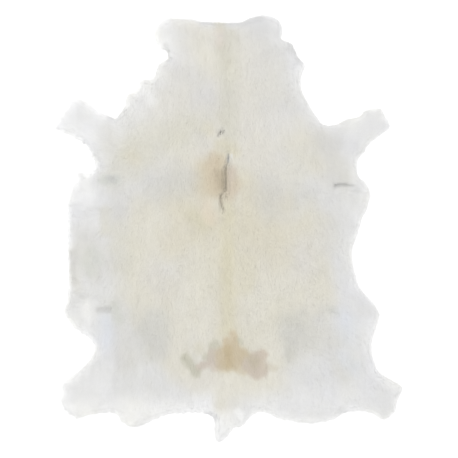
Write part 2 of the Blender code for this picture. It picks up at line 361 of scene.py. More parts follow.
# Each marking is a soft-edged stroke laid over those before it: its name, its tone, its two ends,
# its half width, how soft its edge is, and how much it covers.
MARKINGS = (
    # the back and the shoulders
    ("shoulders", "oat", -30, 330, 0, 170, 200, 0.6, 0.95),
    ("left of saddle", "cream", -258, 30, -252, -190, 62, 0.6, 0.95),
    ("right of saddle", "cream", 246, 20, 250, -190, 52, 0.6, 0.95),
    ("saddle", "cream", -70, 20, 70, -190, 205, 0.35, 0.95),
    ("loins", "cream", -50, -230, 40, -330, 128, 0.4, 0.95),
    ("left of loins", "cream", -160, -280, -140, -390, 48, 0.7, 0.95),
    ("left of saddle, low", "warm", -172, -165, -176, -222, 24, 0.9, 0.5),
    ("rump", "ivory", -100, -430, 100, -450, 60, 0.8, 0.95),
    ("left shoulder", "olive", -95, 300, -285, 225, 52, 0.8, 0.9),
    ("left shoulder blade", "olive", -250, 205, -325, 155, 44, 0.9, 0.85),
    ("left shoulder blade, inner", "warm", -284, 214, -274, 202, 18, 0.9, 0.5),
    ("right shoulder", "cream", 216, 260, 262, 196, 52, 0.8, 0.95),
    ("right shoulder, inner", "olive", 212, 214, 168, 152, 32, 0.9, 0.5),
    ("right shoulder blade", "dull", 300, 240, 320, 165, 42, 0.9, 0.9),
    ("right shoulder's edge", "pale", 346, 228, 376, 220, 22, 0.9, 0.5),
    ("middle of back", "warm", -50, 25, 110, -30, 90, 0.8, 0.9),
    ("left withers spot", "warm", -165, 85, -126, 52, 34, 0.8, 0.6),
    ("right withers spot", "warm", 42, 135, 66, 105, 28, 0.9, 0.9),
    ("right of withers", "warm", 105, 90, 150, 66, 38, 0.9, 0.8),
    ("front of saddle", "warm", -165, -40, -120, 20, 40, 0.9, 0.8),
    ("saddle spot", "straw", -98, 36, -72, 18, 24, 0.9, 0.7),
    ("saddle, left edge", "oat", -212, -138, -204, -160, 34, 0.9, 0.9),
    ("saddle, right edge", "oat", 226, -30, 220, -138, 26, 0.9, 0.8),
    # the neck
    ("neck", "ivory", -60, 590, 20, 490, 80, 0.8, 0.8),
    ("right of neck", "dull", 90, 540, 110, 400, 50, 0.9, 0.4),
    ("right cheek, front", "light", 128, 616, 138, 600, 18, 0.9, 0.6),
    ("left of neck", "dull", -110, 440, -75, 390, 42, 0.9, 0.75),
    ("left cheek", "white", -196, 600, -194, 545, 32, 0.8, 1.0),
    ("left edge of neck", "pale", -165, 560, -285, 350, 34, 0.9, 0.55),
    ("left edge of neck, lower", "white", -226, 376, -250, 436, 16, 0.9, 0.7),
    ("right cheek", "pale", 206, 490, 200, 455, 24, 0.9, 0.7),
    ("spine of neck", "olive", -6, 600, 2, 270, 28, 0.7, 0.9),
    ("spine of neck, upper", "moss", -14, 524, -6, 490, 18, 0.9, 0.6),
    ("spine of neck, lower", "moss", -28, 330, -22, 312, 14, 0.9, 0.5),
    ("crest", "rosy", -28, 600, -26, 545, 14, 0.9, 0.8),
    # the legs and the rear
    ("left foreleg", "pale", -530, 320, -480, 305, 56, 0.7, 0.85),
    ("left foreleg, upper", "pale", -444, 287, -410, 270, 44, 0.9, 0.8),
    ("left elbow", "dull", -350, 282, -350, 240, 24, 0.9, 0.8),
    ("right foreleg", "pale", 490, 345, 400, 290, 52, 0.7, 0.9),
    ("right foreleg, under", "white", 440, 270, 428, 262, 16, 0.9, 0.5),
    ("right armpit", "pale", 376, 160, 380, 145, 14, 0.9, 0.5),
    ("left hind leg", "pale", -480, -520, -400, -452, 50, 0.8, 0.8),
    ("left hind foot", "white", -466, -530, -424, -540, 32, 0.9, 0.95),
    ("left hind leg, upper edge", "white", -460, -428, -430, -412, 16, 0.9, 0.7),
    ("left hip's edge", "white", -402, -366, -450, -438, 18, 0.9, 0.5),
    ("right hind leg", "pale", 505, -490, 420, -450, 44, 0.8, 0.5),
    ("right hind leg, upper edge", "white", 428, -414, 482, -456, 16, 0.9, 0.8),
    ("rear, left", "white", -370, -555, -60, -545, 50, 0.8, 0.95),
    ("rear, right", "pale", 110, -530, 380, -515, 50, 0.8, 0.8),
    ("root of tail", "ivory", -10, -430, -18, -535, 26, 0.8, 0.9),
    ("tail", "snow", -24, -575, -26, -640, 40, 0.6, 0.8),
    # the flanks
    ("left flank, upper", "white", -430, 138, -424, 88, 28, 0.8, 0.9),
    ("left flank", "pale", -436, 64, -400, 30, 34, 0.9, 0.6),
    ("left flank, dull", "dull", -420, -40, -350, -95, 44, 0.9, 0.9),
    # painted shade in a dip of the flank's ripples
    ("left flank, lower", "dull", -440, -100, -400, -128, 28, 0.9, 0.9),
    # painted shade in a dip of the flank's ripples
    ("left flank, dark", "ash", -402, -66, -386, -88, 18, 0.9, 0.6),
    ("left flank's border", "dull", -322, 130, -318, 0, 26, 0.9, 0.8),
    ("left flank, middle", "olive", -360, 52, -362, -6, 16, 0.9, 0.7),
    # painted shade where the flank's edge curls over
    ("left flank's edge", "dull", -454, -64, -446, -176, 16, 0.9, 1.0),
    # painted shade in a dip of the flank's ripples
    ("left flank, low", "ash", -420, -98, -404, -120, 18, 0.9, 0.6),
    ("left of saddle, outer", "olive", -322, -10, -306, -96, 32, 0.9, 0.7),
    # painted shade in the crease behind the left foreleg
    ("behind left foreleg", "ash", -366, 144, -330, 142, 14, 0.9, 0.9),
    ("behind left foreleg, dark", "stone", -350, 148, -338, 144, 10, 0.9, 0.6),
    ("right flank's border", "dull", 290, 120, 300, -40, 40, 0.9, 0.4),
    ("right flank's edge", "white", 400, 118, 408, 70, 16, 0.9, 0.8),
    # the haunches
    ("left stifle", "bluish", -344, -275, -350, -320, 32, 0.9, 0.95),
    ("right stifle", "bluish", 336, -270, 340, -330, 30, 0.9, 0.8),
    ("left thigh", "dull", -318, -240, -302, -390, 30, 0.9, 0.8),
    ("right thigh", "dull", 262, -255, 290, -330, 36, 0.9, 0.8),
    ("left haunch", "grey", -245, -280, -222, -335, 42, 0.9, 0.95),
    ("left haunch, inner", "grey", -196, -262, -200, -310, 28, 0.9, 0.7),
    ("right haunch", "grey", 172, -285, 172, -365, 30, 0.9, 0.85),
    ("right haunch, outer", "grey", 205, -280, 232, -325, 34, 0.9, 0.8),
    ("right hip", "dull", 320, -370, 330, -400, 40, 0.9, 0.6),
    ("right hip, outer", "bluish", 364, -406, 336, -380, 22, 0.9, 0.6),
    ("left stifle's edge", "white", -448, -296, -424, -300, 20, 0.9, 0.7),
    ("right stifle's edge", "white", 442, -248, 408, -324, 15, 0.9, 0.5),
    ("left stifle, outer", "white", -420, -232, -414, -258, 20, 0.9, 0.8),
    # painted shade in the creases and the hollow at the stifles
    ("crease at left stifle", "stone", -380, -236, -348, -234, 8, 0.9, 0.7),
    ("hollow at left stifle", "ash", -334, -226, -322, -266, 13, 0.9, 0.6),
    ("crease at right stifle", "ash", 296, -237, 316, -245, 12, 0.9, 0.4),
    ("right of saddle, low", "ivory", 238, -206, 246, -234, 18, 0.9, 0.6),
    ("above left haunch", "cream", -256, -246, -272, -268, 18, 0.9, 0.6),
    # the spine
    ("loin stripe", "warm", -6, -100, -6, -300, 34, 0.8, 0.8),
    ("spine", "straw", -4, 60, -2, -290, 19, 0.8, 0.85),
    # the withers
    ("wide", "fawn", -56, 172, -60, 134, 42, 0.75, 0.95),
    ("top", "buff", -38, 204, -42, 180, 18, 0.9, 0.95),
    ("top right", "buff", -20, 214, -16, 196, 10, 0.9, 0.6),
    ("right", "mauve", 4, 168, 8, 112, 17, 0.9, 0.9),
    ("middle", "buff", -44, 172, -38, 120, 24, 0.9, 0.95),
    ("dark", "dark", -28, 158, -25, 128, 16, 0.9, 0.85),
    ("right foot", "buff", 20, 128, -2, 92, 16, 0.9, 0.5),
    ("above withers", "straw", -24, 244, 10, 230, 20, 0.9, 0.8),
    ("below withers", "honey", -64, 64, -52, 28, 18, 0.9, 0.7),
    # the patch
    ("left of patch", "ivory", -148, -300, -146, -360, 16, 0.9, 0.7),
    ("right of patch", "ivory", 136, -340, 142, -388, 16, 0.9, 0.8),
    ("left arm", "khaki", -126, -377, -96, -414, 14, 0.6, 0.95),
    ("left gap", "olive", -96, -366, -92, -386, 9, 0.9, 0.7),
    ("left heel", "khaki", -97, -412, -95, -422, 12, 0.7, 0.9),
    ("link", "mauve", -88, -402, -62, -392, 10, 0.6, 0.85),
    ("left corner", "khaki", -68, -372, -52, -376, 11, 0.45, 0.9),
    ("upper left", "khaki", -40, -344, -38, -360, 19, 0.5, 0.95),
    ("left body", "mauve", -44, -370, -36, -390, 24, 0.35, 0.8),
    ("finger", "buff", 12, -308, 14, -326, 12, 0.5, 1.0),
    ("finger's side", "khaki", 30, -324, 34, -330, 8, 0.8, 0.8),
    ("neck", "tan", -6, -328, -2, -360, 14, 0.4, 0.95),
    ("middle", "tan", -14, -374, 18, -382, 30, 0.35, 0.85),
    ("under finger", "tan", 14, -334, 18, -346, 13, 0.6, 0.85),
    ("foot", "tan", -24, -398, -18, -402, 14, 0.8, 0.7),
    ("right body", "tan", 36, -372, 58, -388, 25, 0.4, 0.95),
    ("right arm", "mauve", 72, -370, 102, -364, 12, 0.5, 0.95),
    ("under right arm", "mauve", 84, -380, 100, -378, 9, 0.7, 0.9),
    ("right foot", "mauve", 66, -404, 90, -410, 28, 0.35, 0.95),
    ("right middle", "taupe", 66, -380, 82, -396, 15, 0.9, 0.8),
    ("heel", "mauve", 96, -404, 84, -426, 12, 0.8, 0.8),
    ("spur", "sand", 108, -402, 134, -406, 9, 0.8, 0.6),
    ("core", "brown", -4, -352, -1, -402, 14, 0.9, 0.75),
    ("lower middle", "tan", 22, -411, 44, -420, 8, 0.8, 0.5),
    # last touches: the first three darken the coat as painted shade; the rest shift its tone
    ("left of withers, painted shade", "stone", -210, 124, -142, 136, 44, 0.9, 0.5),
    ("right of withers, painted shade", "stone", 114, 116, 128, 58, 38, 0.9, 0.5),
    ("below right shoulder", "flint", 212, 100, 210, 92, 30, 0.9, 0.22),
    ("right of spine", "straw", 53, -94, 50, -162, 24, 0.9, 0.6),
    ("above patch", "straw", -88, -346, -84, -350, 16, 0.9, 0.5),
    ("below arc", "straw", -62, 296, -56, 286, 18, 0.9, 0.5),
)

# Markings at the rim itself, laid over its pale band, in the same columns.
RIM_MARKINGS = (
    ("end of neck, left", "light", -70, 610, -15, 604, 14, 0.8, 0.9),
    ("end of neck, right", "light", 8, 603, 90, 613, 13, 0.8, 0.8),
    ("left cheek, under", "light", -176, 496, -184, 534, 10, 0.8, 0.9),
    ("right cheek", "light", 118, 600, 142, 562, 10, 0.8, 0.3),
    ("right cheek, lower", "light", 182, 540, 206, 494, 11, 0.8, 0.8),
    ("left edge of back", "light", -210, 470, -210, 460, 10, 0.8, 0.4),
    # painted shade where the flank's edge curls over
    ("edge of flank", "dull", -458, -70, -450, -160, 11, 0.8, 0.9),
    ("left foreleg, under", "pale", -420, 258, -398, 248, 10, 0.8, 0.8),
    ("left of tail", "pale", -62, -542, -42, -554, 10, 0.8, 0.9),
    ("right of tail", "snow", 26, -536, 44, -568, 12, 0.8, 0.7),
    ("right rump", "light", 326, -534, 352, -540, 10, 0.8, 0.8),
    ("right rump, under", "snow", 214, -572, 246, -564, 11, 0.8, 0.8),
    ("right hind foot", "pale", 494, -484, 506, -494, 10, 0.8, 0.7),
    ("left hind foot", "snow", -472, -536, -460, -524, 12, 0.8, 0.8),
    ("between neck and foreleg", "light", -340, 326, -310, 342, 14, 0.8, 0.8),
    ("in left armpit", "light", -392, 240, -376, 190, 10, 0.8, 0.6),
    ("in right armpit", "light", 380, 176, 384, 150, 10, 0.8, 0.5),
    ("end of neck, middle", "straw", -30, 606, -26, 592, 16, 0.9, 0.4),
)

# Marks as fine as single locks of hair, in the same columns: painted shade in the coat's partings
# and creases, part of it the slit's tan skin showing through, and one painted highlight.
FINE_MARKINGS = (
    # painted shade in the furrow of the arc above the withers
    ("arc above withers, left", "flint", -33, 275, -27, 282, 2.6, 0.7, 0.9),
    ("arc above withers, right", "flint", -27, 282, -14, 287, 2.6, 0.7, 0.9),
    # painted shade at the top of the slit
    ("slit, top", "stone", -1, 215, -2, 199, 3.5, 0.8, 0.7),
    # a painted highlight beside the slit's top
    ("slit, highlight", "light", 8, 217, 8, 210, 3, 0.8, 0.8),
    # darker along the slit: its tan skin showing through, and painted shade in the parting
    ("slit", "taupe", -9, 178, -9, 118, 3.5, 0.7, 0.8),
    ("foot of slit", "taupe", -25, 100, -22, 74, 6, 0.9, 0.7),
    ("end of slit", "sand", -24, 74, -14, 54, 5, 0.9, 0.6),
    # painted shade in the crease behind the right foreleg
    ("crease", "stone", 312, 130, 340, 131, 4.5, 0.8, 0.7),
    ("crease, end", "stone", 340, 130, 362, 128, 3.5, 0.9, 0.4),
)


def stroke_distance(x, y, x0, y0, x1, y1):
    """How far points are from a straight stroke, in the same unit."""
    run = np.array((x1 - x0, y1 - y0), dtype=float)
    share = ((x - x0) * run[0] + (y - y0) * run[1]) / max(run @ run, 1e-9)
    share = np.clip(share, 0.0, 1.0)
    return np.hypot(x - x0 - run[0] * share, y - y0 - run[1] * share)


def linear(colour):
    """An sRGB colour of 0 to 255 as light."""
    value = np.asarray(colour, dtype=float) / 255.0
    return np.where(value <= 0.04045, value / 12.92, ((value + 0.055) / 1.055) ** 2.4)


def laid_over(colour, x, y, markings, ragged):
    """Colours with soft strokes laid over them, their edges ragged by a share of their width."""
    for k, (_, tone, x0, y0, x1, y1, half, soft, cover) in enumerate(markings):
        edge_x, edge_y = x, y
        if ragged:
            edge_x = x + ragged * half * waves(x, y, half * 0.9, half * 0.9, 40 + 2 * k)
            edge_y = y + ragged * half * waves(x, y, half * 0.9, half * 0.9, 41 + 2 * k)
        away = stroke_distance(edge_x, edge_y, x0, y0, x1, y1) / half
        mask = cover * (1.0 - ease((away - (1.0 - soft)) / (2.0 * soft)))
        colour = colour + (np.array(TONES[tone], dtype=float) - colour) * mask[:, None]
    return colour


def painted(x, y, depth):
    """The coat's broad colours, with strokes of painted shade and the partly painted light of the
    rim, at points given in millimetres, a depth inside its rim.
    """
    colour = np.tile(np.array(TONES[GROUND], dtype=float), (len(x), 1))
    colour = laid_over(colour, x, y, MARKINGS, RAGGED)
    # the pale band at the rim, in part painted light that lifts the shade on the hairs turning down
    # over the edge
    rim = RIM_SHARE + RIM_SHARE_FLUFFY * fluff(x * MM, y * MM) / FLUFFIEST
    rim *= np.exp(-np.maximum(depth, 0.0) / RIM_REACH)
    colour += (np.array(TONES[RIM_TONE], dtype=float) - colour) * rim[:, None]
    colour = laid_over(colour, x, y, RIM_MARKINGS, RAGGED)
    light = waves(x, y, 52.0, 60.0, 31) + 0.7 * waves(x, y, 17.0, 22.0, 32)
    yellow = waves(x, y, 70.0, 80.0, 33) + 0.6 * waves(x, y, 26.0, 30.0, 34)
    return colour + MOTTLE * (light[:, None] + yellow[:, None] * (0.2, 0.1, -0.9))


def coat_colour(maps, x, y):
    """The hair's colour at points given in metres, from how it looks from above, with the painted
    shade and highlight of its fine marks.
    """
    colour = np.stack([maps.read(maps.tint[..., k], x, y) for k in range(3)], axis=1)
    x, y = x / MM, y / MM
    # the fine marks: painted shade and one painted highlight
    colour = laid_over(colour, x, y, FINE_MARKINGS, 0.0)
    streaks = waves(x, y, 9.0, 70.0, 5) + 0.6 * waves(x, y, 22.0, 40.0, 6)
    return linear(colour + STREAKS * streaks[:, None]) / LIGHT_SENT_UP


# ---- the lie of the hair

# Where the hair follows a limb: its name, its root, its end, and its half width.
LIMBS = (
    ("left foreleg", -350, 258, -490, 336, 62),
    ("right foreleg", 375, 255, 456, 325, 58),
    ("left hind leg", -392, -410, -474, -520, 62),
    ("right hind leg", 420, -410, 486, -520, 60),
    ("tail", -12, -560, -28, -625, 30),
)
SPLAY = math.radians(46.0)  # how far the hair turns outwards at the belly's edge
HALF_GIRTH = 0.46
NECK_START = 0.30  # where the neck starts, and how far it takes to
NECK_REACH = 0.15
NECK_CALM = 0.55  # how much less the hair turns outwards on the neck
PARTING = 1.9  # how far the hair turns away from the slit at the withers
PARTING_REACH = 0.010
PARTING_LOW = 0.075  # its two ends, and how softly it starts at each
PARTING_HIGH = 0.225
PARTING_LOW_EASE = 0.05
PARTING_HIGH_EASE = 0.03
SLIT_STRAY = 0.2  # how much more the hair strays beside the slit
SLIT_STRAY_REACH = 0.006
SLIT_LENGTH = 0.45  # how long it is there, as a share of its length elsewhere
SLIT_LENGTH_REACH = 0.02
SHALLOW = 0.4  # the sine of the angle below which a hair runs along a furrow and isn't stopped


def lie_of_hair(x, y):
    """The direction in which the hair lies, as two flat parts of a unit vector."""
    girth = np.clip(x / HALF_GIRTH, -1.0, 1.0)
    neck = ease((y - NECK_START) / NECK_REACH)
    angle = SPLAY * girth * (1.0 - NECK_CALM * neck)
    angle += math.radians(11.0) * waves(x, y, 0.12, 0.16, 11)
    angle += math.radians(6.0) * waves(x, y, 0.03, 0.04, 12)
    across, along = np.sin(angle), -np.cos(angle)
    for _, x0, y0, x1, y1, half in LIMBS:
        away = stroke_distance(x / MM, y / MM, x0, y0, x1, y1) / half
        weight = 1.0 - ease((away - 0.45) / 0.9)
        run = np.array((x1 - x0, y1 - y0), dtype=float)
        run /= np.linalg.norm(run)
        across += (run[0] - across) * weight
        along += (run[1] - along) * weight
    slit_x, away = beside_slit(x, y)
    open_here = ease((y - PARTING_LOW) / PARTING_LOW_EASE)
    open_here *= ease((PARTING_HIGH - y) / PARTING_HIGH_EASE)
    away = away / PARTING_REACH
    across += np.sign(slit_x) * PARTING * open_here * away * np.exp(-(away ** 2))
    return unit(across, along)


def unit(across, along):
    """Flat directions of length 1."""
    size = np.maximum(np.hypot(across, along), 1e-6)
    return across / size, along / size


def beside_slit(x, y):
    """The side of the withers' slit that points are on, and how far off it they are."""
    away = np.full(len(x), np.inf)
    side = np.zeros(len(x))
    for (x0, y0), (x1, y1) in zip(SLIT, SLIT[1:]):
        gap = stroke_distance(x / MM, y / MM, x0, y0, x1, y1) * MM
        at = x0 + (x1 - x0) * np.clip((y / MM - y0) / (y1 - y0), 0.0, 1.0)
        side = np.where(gap < away, x - at * MM, side)
        away = np.minimum(gap, away)
    return side, away


def sunk(x, y):
    """The share of the coat's height that is left in the furrows, and 1 away from them."""
    left = np.ones(len(x))
    for _, points, half, depth in FURROWS:
        away = np.full(len(x), np.inf)
        for (x0, y0), (x1, y1) in zip(points, points[1:]):
            away = np.minimum(away, stroke_distance(x / MM, y / MM, x0, y0, x1, y1))
        left *= 1.0 - depth * np.exp(-((away / half) ** 2))
    return left


def points_in_furrows():
    """Points along the furrows and up their sides, for a mesh to follow them down."""
    rows = []
    for _, points, half, _ in FURROWS:
        for start, end in zip(points, points[1:]):
            run = np.array(end, dtype=float) - start
            aside = np.array((-run[1], run[0])) / np.linalg.norm(run) * half
            for share in np.linspace(0.0, 1.0, int(np.linalg.norm(run) / FURROW_STEP) + 2):
                rows += [start + run * share + aside * reach for reach in FURROW_SIDES]
    return np.array(rows) * MM


# ---- meshes

MERGE = 1e-7  # points of a sheet this near are one


def honeycomb(step):
    """Points on a triangular grid over the solid's box."""
    low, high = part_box("hide")
    row_step = step * math.sqrt(3.0) / 2.0
    rows = np.arange(int((high[1] - low[1]) / row_step) + 1)
    columns = np.arange(int((high[0] - low[0]) / step) + 1)
    column, row = np.meshgrid(columns, rows)
    x = low[0] + (column + (row % 2) / 2.0) * step
    y = low[1] + row * row_step
    return x.ravel(), y.ravel()


def calmed(ring, passes):
    """A loop without the locks of hair at the rim."""
    for _ in range(passes):
        ring = ring * 0.5 + (np.roll(ring, 1, axis=0) + np.roll(ring, -1, axis=0)) * 0.25
    return ring


def drawn_in(ring, inset):
    """A clockwise loop drawn in by a distance."""
    along = np.roll(ring, -1, axis=0) - np.roll(ring, 1, axis=0)
    along /= np.linalg.norm(along, axis=1)[:, None]
    return ring - np.stack([-along[:, 1], along[:, 0]], axis=1) * inset


def sheet_in(ring, step, maps, more=np.empty((0, 2))):
    """A flat triangulated sheet inside a loop, with more points if given: points and triangles."""
    x, y = honeycomb(step)
    inner = maps.read(maps.depth, x, y) > SKIN_INSET + step
    flat = np.vstack([ring, np.stack([x[inner], y[inner]], axis=1), more])
    edge = [(i, (i + 1) % len(ring)) for i in range(len(ring))]
    points, _, faces, *_ = delaunay_2d_cdt([Vector(p) for p in flat], edge, [], 1, MERGE)
    faces = np.array([face[::-1] if turns_down(points, face) else face for face in faces])
    return np.array([tuple(p) for p in points]), faces


def turns_down(points, face):
    """Whether a flat triangle's corners run clockwise."""
    a, b, c = (points[i] for i in face)
    return (b - a).cross(c - a) < 0.0


def mesh_of(name, points, triangles, material):
    """An object from arrays of points and triangles."""
    mesh = bpy.data.meshes.new(name)
    mesh.vertices.add(len(points))
    mesh.vertices.foreach_set("co", points.astype(np.float32).ravel())
    mesh.loops.add(triangles.size)
    mesh.loops.foreach_set("vertex_index", triangles.astype(np.int32).ravel())
    mesh.polygons.add(len(triangles))
    mesh.polygons.foreach_set("loop_start", np.arange(len(triangles), dtype=np.int32) * 3)
    mesh.update(calc_edges=True)
    mesh.validate()
    mesh.shade_smooth()
    mesh.materials.append(material)
    return placed(name, mesh)


def placed(name, data):
    """An object of its own for a mesh, light or camera."""
    thing = bpy.data.objects.new(name, data)
    bpy.context.scene.collection.objects.link(thing)
    return thing


def give(piece, name, values):
    """A value for each point of a piece, for its material to read."""
    kind, key = ("FLOAT", "value") if values.ndim == 1 else ("FLOAT_VECTOR", "vector")
    layer = piece.data.attributes.new(name, kind, "POINT")
    layer.data.foreach_set(key, values.astype(np.float32).ravel())


def lay_out(piece):
    """A texture map of the piece as seen from above."""
    mesh = piece.data
    places = np.empty(len(mesh.vertices) * 3, dtype=np.float32)
    mesh.vertices.foreach_get("co", places)
    flat = places.reshape(-1, 3)[:, :2]
    low, high = flat.min(axis=0), flat.max(axis=0)
    corner = np.empty(len(mesh.loops), dtype=np.int32)
    mesh.loops.foreach_get("vertex_index", corner)
    spread = ((flat - low) / (high - low))[corner]
    mesh.uv_layers.new(name="OFBake").data.foreach_set("uv", spread.astype(np.float32).ravel())


# ---- materials

def new_material(name, roughness, specular, sheen):
    """A Principled material, and its node tree and shader."""
    material = bpy.data.materials.new(name)
    material.use_nodes = True
    tree = material.node_tree
    shader = tree.nodes["Principled BSDF"]
    finish = {"Roughness": roughness, "Specular IOR Level": specular, "Sheen Weight": sheen}
    for socket, value in finish.items():
        shader.inputs[socket].default_value = value
    shader.inputs["Sheen Roughness"].default_value = 0.5
    return material, tree, shader


def attribute(tree, name, output):
    """A node that reads a value of the mesh."""
    node = tree.nodes.new("ShaderNodeAttribute")
    node.attribute_name = name
    return node.outputs[output]


def noise(tree, scale, detail, place=None, stretch=(1.0, 1.0, 1.0)):
    """Noise in the object's own space, or over another place, in waves of one over scale."""
    mapping = tree.nodes.new("ShaderNodeMapping")
    mapping.inputs["Scale"].default_value = stretch
    texture = tree.nodes.new("ShaderNodeTexNoise")
    texture.inputs["Scale"].default_value = scale
    texture.inputs["Detail"].default_value = detail
    place = place or tree.nodes.new("ShaderNodeTexCoord").outputs["Object"]
    tree.links.new(place, mapping.inputs["Vector"])
    tree.links.new(mapping.outputs["Vector"], texture.inputs["Vector"])
    return texture.outputs["Fac"]


def part_of(tree, vector, axis):
    """One axis of a vector."""
    node = tree.nodes.new("ShaderNodeSeparateXYZ")
    tree.links.new(vector, node.inputs["Vector"])
    return node.outputs[axis]


def ranged(tree, value, low, high):
    """A value of 0 to 1 spread between two limits."""
    node = tree.nodes.new("ShaderNodeMapRange")
    node.inputs["To Min"].default_value = low
    node.inputs["To Max"].default_value = high
    tree.links.new(value, node.inputs["Value"])
    return node.outputs["Result"]


def scaled(tree, colour, factor):
    """A colour made brighter or darker by a value."""
    node = tree.nodes.new("ShaderNodeVectorMath")
    node.operation = "SCALE"
    tree.links.new(colour, node.inputs[0])
    tree.links.new(factor, node.inputs["Scale"])
    return node.outputs["Vector"]


def bumped(tree, shader, height, distance):
    """Fine relief on a shader."""
    node = tree.nodes.new("ShaderNodeBump")
    node.inputs["Strength"].default_value = 0.5
    node.inputs["Distance"].default_value = distance
    tree.links.new(height, node.inputs["Height"])
    tree.links.new(node.outputs["Normal"], shader.inputs["Normal"])


def hair_material():
    """Coarse, dry hair: fine fibres side by side, no two strands alike, darker towards the root as
    painted shade where it lies deep in the coat.
    """
    material, tree, shader = new_material("coat_hair", 0.62, 0.28, 0.25)
    strand = attribute(tree, "strand", "Vector")
    fibres = noise(tree, 1.0, 2.0, strand, (2.4, 2.0, 60.0))
    colour = attribute(tree, "coat", "Vector")
    colour = scaled(tree, colour, ranged(tree, fibres, 0.88, 1.10))
    # painted shade: darker towards the root, which lies deep in the coat
    colour = scaled(tree, colour, ranged(tree, part_of(tree, strand, "Y"), 0.94, 1.02))
    colour = scaled(tree, colour, ranged(tree, part_of(tree, strand, "Z"), 0.98, 1.02))
    tree.links.new(colour, shader.inputs["Base Color"])
    bumped(tree, shader, fibres, 0.0002)
    return material


def fur_material():
    """The soft mat under the hair, a little darker than it."""
    material, tree, shader = new_material("under_fur", 0.9, 0.15, 0.1)
    colour = attribute(tree, "coat", "Vector")
    colour = scaled(tree, colour, ranged(tree, noise(tree, 420.0, 4.0), 0.92, 1.06))
    tree.links.new(colour, shader.inputs["Base Color"])
    bumped(tree, shader, noise(tree, 900.0, 3.0), 0.0006)
    return material


def skin_material():
    """Soft tanned skin, napped on its flesh side."""
    material, tree, shader = new_material("tanned_skin", 0.88, 0.2, 0.35)
    blend = tree.nodes.new("ShaderNodeMix")
    blend.data_type = "RGBA"
    blend.inputs["A"].default_value = (0.72, 0.65, 0.55, 1.0)
    blend.inputs["B"].default_value = (0.84, 0.80, 0.73, 1.0)
    tree.links.new(ranged(tree, noise(tree, 14.0, 5.0), 0.0, 1.0), blend.inputs["Factor"])
    fine = ranged(tree, noise(tree, 700.0, 4.0), 0.92, 1.05)
    tree.links.new(scaled(tree, blend.outputs["Result"], fine), shader.inputs["Base Color"])
    bumped(tree, shader, noise(tree, 340.0, 6.0), 0.0008)
    return material


# ---- the pieces

def make_skin(maps):
    """The tanned skin: a thin closed sheet on the solid's folds."""
    ring = drawn_in(calmed(maps.ring, 4), SKIN_INSET)
    flat, faces = sheet_in(ring, SKIN_STEP, maps)
    lift = maps.read(maps.softened(maps.skin), *flat.T) + SKIN_LIFT
    skin = mesh_of("skin", np.column_stack([flat, lift]), faces, skin_material())
    thickness = skin.modifiers.new("thickness", "SOLIDIFY")
    thickness.thickness = SKIN_THICKNESS
    thickness.offset = 1.0
    area = triangle_area(flat, faces)
    return skin, area


def triangle_area(flat, faces):
    """The area of a flat sheet."""
    a, b, c = flat[faces[:, 0]], flat[faces[:, 1]], flat[faces[:, 2]]
    return float(np.abs(np.cross(b - a, c - a)).sum() / 2.0)


def make_fur(maps):
    """The under-fur: a lumpy mat on the skin that ends just inside its edge."""
    ring = drawn_in(calmed(maps.ring, 4), FUR_INSET)
    flat, faces = sheet_in(ring, FUR_STEP, maps, points_in_furrows())
    x, y = flat.T
    lumps = sum(high * waves(x, y, wide, long, seed) for high, wide, long, seed in FUR_LUMPS)
    height = fur_height(maps, x, y, lumps)
    fur = mesh_of("under_fur", np.column_stack([flat, height]), faces, fur_material())
    give(fur, "coat", coat_colour(maps, x, y))
    lay_out(fur)
    return fur


def fur_height(maps, x, y, lumps=0.0):
    """The height of the under-fur at points: it thins out to nothing at its edge."""
    rise = ease((maps.read(maps.depth, x, y) - FUR_FOOT) / FUR_RISE)
    mat = maps.read(maps.thick, x, y) * FUR_SHARE * sunk(x, y) - SKIN_THICKNESS + lumps
    return maps.read(maps.skin, x, y) + LEAST + SKIN_THICKNESS + np.maximum(mat, LEAST) * rise


def clump_pull(x, y, jitters):
    """The offset from each point to the middle of the lock of hair that it belongs to."""
    column, row = np.floor(x / CLUMP).astype(int), np.floor(y / CLUMP).astype(int)
    size = jitters.shape[0]
    best = np.full(len(x), np.inf)
    pull = np.zeros((len(x), 2))
    for i in (-1, 0, 1):
        for j in (-1, 0, 1):
            jitter = jitters[(column + i) % size, (row + j) % size]
            away_x = (column + i + jitter[:, 0]) * CLUMP - x
            away_y = (row + j + jitter[:, 1]) * CLUMP - y
            gap = np.hypot(away_x, away_y)
            nearer = gap < best
            best = np.where(nearer, gap, best)
            pull = np.where(nearer[:, None], np.column_stack([away_x, away_y]), pull)
    return pull * CLUMP_PULL


def overhang(x, y):
    """How far the hair may reach past the edge."""
    return OVERHANG + fluff(x, y)


def rim_spread(x, y):
    """How far the hair turns outwards at the rim."""
    return RIM_SPREAD + RIM_SPREAD_FLUFFY * fluff(x, y) / FLUFFIEST


def scattered(rng, step):
    """Points all over the solid's box, evenly but in no pattern."""
    x, y = honeycomb(step)
    return (
        x + rng.uniform(-0.5, 0.5, len(x)) * step,
        y + rng.uniform(-0.5, 0.5, len(y)) * step,
    )


def turned(across, along, angle):
    """Flat directions turned by an angle."""
    return (
        across * np.cos(angle) - along * np.sin(angle),
        across * np.sin(angle) + along * np.cos(angle),
    )


